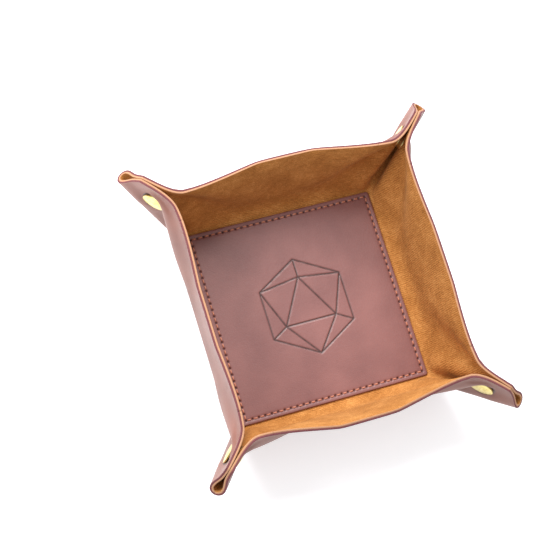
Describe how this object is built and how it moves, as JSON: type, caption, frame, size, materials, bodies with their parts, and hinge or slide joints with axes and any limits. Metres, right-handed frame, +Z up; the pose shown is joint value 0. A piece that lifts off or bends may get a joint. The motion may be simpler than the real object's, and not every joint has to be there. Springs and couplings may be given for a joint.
{
  "type": "folding dice tray",
  "caption": "Square folding tray of lined leather with a sewn centre panel; snap fasteners pinch its corners into ears and let it open flat.",
  "frame": {"origin": "centre of the underside, on the surface that the tray rests on", "axes": "+X right and +Y back, along the base's sides; +Z up. The front and back walls bow outward"},
  "size_m": [0.1624, 0.1624, 0.0485],
  "materials": {
    "outer_leather": "smooth brown leather, satin",
    "suede_lining": "tan suede, matt",
    "panel_leather": "smooth brown leather, satin",
    "thread": "waxed thread",
    "cap_brass": "antique brass, satin",
    "snap_brass": "brass, satin",
    "spring_steel": "spring wire"
  },
  "bodies": {
    "base": {"base_leather": "outer_leather", "base_lining": "suede_lining", "center_panel": "panel_leather", "panel_thread": "thread", "bobbin_thread": "thread", "base_bends_leather": "outer_leather", "base_bends_lining": "suede_lining"},
    "wall_right": {"wall_right_leather": "outer_leather", "wall_right_lining": "suede_lining", "ear_bend_right_back": "outer_leather", "ear_bend_right_front": "outer_leather"},
    "wall_back": {"wall_back_leather": "outer_leather", "wall_back_lining": "suede_lining", "ear_bend_back_right": "outer_leather", "ear_bend_back_left": "outer_leather"},
    "wall_left": {"wall_left_leather": "outer_leather", "wall_left_lining": "suede_lining", "ear_bend_left_back": "outer_leather", "ear_bend_left_front": "outer_leather"},
    "wall_front": {"wall_front_leather": "outer_leather", "wall_front_lining": "suede_lining", "ear_bend_front_right": "outer_leather", "ear_bend_front_left": "outer_leather"},
    "ear_right_back": {"ear_right_back_leather": "outer_leather", "ear_right_back_lining": "suede_lining", "snap_cap_right_back": "cap_brass", "snap_socket_right_back": "snap_brass", "snap_spring_right_back": "spring_steel"},
    "ear_right_front": {"ear_right_front_leather": "outer_leather", "ear_right_front_lining": "suede_lining", "snap_cap_right_front": "cap_brass", "snap_socket_right_front": "snap_brass", "snap_spring_right_front": "spring_steel"},
    "ear_left_back": {"ear_left_back_leather": "outer_leather", "ear_left_back_lining": "suede_lining", "snap_cap_left_back": "cap_brass", "snap_socket_left_back": "snap_brass", "snap_spring_left_back": "spring_steel"},
    "ear_left_front": {"ear_left_front_leather": "outer_leather", "ear_left_front_lining": "suede_lining", "snap_cap_left_front": "cap_brass", "snap_socket_left_front": "snap_brass", "snap_spring_left_front": "spring_steel"},
    "ear_back_right": {"ear_back_right_leather": "outer_leather", "ear_back_right_lining": "suede_lining", "snap_cap_back_right": "cap_brass", "snap_stud_back_right": "snap_brass"},
    "ear_back_left": {"ear_back_left_leather": "outer_leather", "ear_back_left_lining": "suede_lining", "snap_cap_back_left": "cap_brass", "snap_stud_back_left": "snap_brass"},
    "ear_front_right": {"ear_front_right_leather": "outer_leather", "ear_front_right_lining": "suede_lining", "snap_cap_front_right": "cap_brass", "snap_stud_front_right": "snap_brass"},
    "ear_front_left": {"ear_front_left_leather": "outer_leather", "ear_front_left_lining": "suede_lining", "snap_cap_front_left": "cap_brass", "snap_stud_front_left": "snap_brass"}
  },
  "joints": [
    {"name": "fold_right", "type": "hinge", "parent": "base", "child": "wall_right", "pos_m": [0.05458, 0, 0.00198], "axis": [0, 1, 0], "range_deg": [0, 75], "deforming": ["base_bends_leather", "base_bends_lining"]},
    {"name": "fold_back", "type": "hinge", "parent": "base", "child": "wall_back", "pos_m": [0, 0.05458, 0.00198], "axis": [-1, 0, 0], "range_deg": [0, 75]},
    {"name": "fold_left", "type": "hinge", "parent": "base", "child": "wall_left", "pos_m": [-0.05458, 0, 0.00198], "axis": [0, -1, 0], "range_deg": [0, 75]},
    {"name": "fold_front", "type": "hinge", "parent": "base", "child": "wall_front", "pos_m": [0, -0.05458, 0.00198], "axis": [1, 0, 0], "range_deg": [0, 75]},
    {"name": "unfold_right_back", "type": "hinge", "parent": "wall_right", "child": "ear_right_back", "pos_m": [0.05032, 0.05416, -0.00027], "axis": [0.2337, 0.2576, 0.9376], "range_deg": [0, 46.94], "deforming": ["ear_bend_right_back"]},
    {"name": "unfold_right_front", "type": "hinge", "parent": "wall_right", "child": "ear_right_front", "pos_m": [0.05032, -0.05416, -0.00027], "axis": [-0.2337, 0.2576, -0.9376], "range_deg": [0, 46.94], "deforming": ["ear_bend_right_front"]},
    {"name": "unfold_left_back", "type": "hinge", "parent": "wall_left", "child": "ear_left_back", "pos_m": [-0.05032, 0.05416, -0.00027], "axis": [0.2337, -0.2576, -0.9376], "range_deg": [0, 46.94], "deforming": ["ear_bend_left_back"]},
    {"name": "unfold_left_front", "type": "hinge", "parent": "wall_left", "child": "ear_left_front", "pos_m": [-0.05032, -0.05416, -0.00027], "axis": [-0.2337, -0.2576, 0.9376], "range_deg": [0, 46.94], "deforming": ["ear_bend_left_front"]},
    {"name": "unfold_back_right", "type": "hinge", "parent": "wall_back", "child": "ear_back_right", "pos_m": [0.05416, 0.05032, -0.00027], "axis": [-0.2576, -0.2337, -0.9376], "range_deg": [0, 46.94], "deforming": ["ear_bend_back_right"]},
    {"name": "unfold_back_left", "type": "hinge", "parent": "wall_back", "child": "ear_back_left", "pos_m": [-0.05416, 0.05032, -0.00027], "axis": [-0.2576, 0.2337, 0.9376], "range_deg": [0, 46.94], "deforming": ["ear_bend_back_left"]},
    {"name": "unfold_front_right", "type": "hinge", "parent": "wall_front", "child": "ear_front_right", "pos_m": [0.05416, -0.05032, -0.00027], "axis": [0.2576, -0.2337, 0.9376], "range_deg": [0, 46.94], "deforming": ["ear_bend_front_right"]},
    {"name": "unfold_front_left", "type": "hinge", "parent": "wall_front", "child": "ear_front_left", "pos_m": [-0.05416, -0.05032, -0.00027], "axis": [0.2576, 0.2337, -0.9376], "range_deg": [0, 46.94], "deforming": ["ear_bend_front_left"]}
  ],
  "couplings": [
    {"joint": "fold_back", "follows": "fold_right", "ratio": 1},
    {"joint": "fold_left", "follows": "fold_right", "ratio": 1},
    {"joint": "fold_front", "follows": "fold_right", "ratio": 1},
    {"joint": "unfold_right_back", "follows": "fold_right", "ratio": 0.6257},
    {"joint": "unfold_right_front", "follows": "fold_right", "ratio": 0.6257},
    {"joint": "unfold_left_back", "follows": "fold_right", "ratio": 0.6257},
    {"joint": "unfold_left_front", "follows": "fold_right", "ratio": 0.6257},
    {"joint": "unfold_back_right", "follows": "fold_right", "ratio": 0.6257},
    {"joint": "unfold_back_left", "follows": "fold_right", "ratio": 0.6257},
    {"joint": "unfold_front_right", "follows": "fold_right", "ratio": 0.6257},
    {"joint": "unfold_front_left", "follows": "fold_right", "ratio": 0.6257}
  ]
}
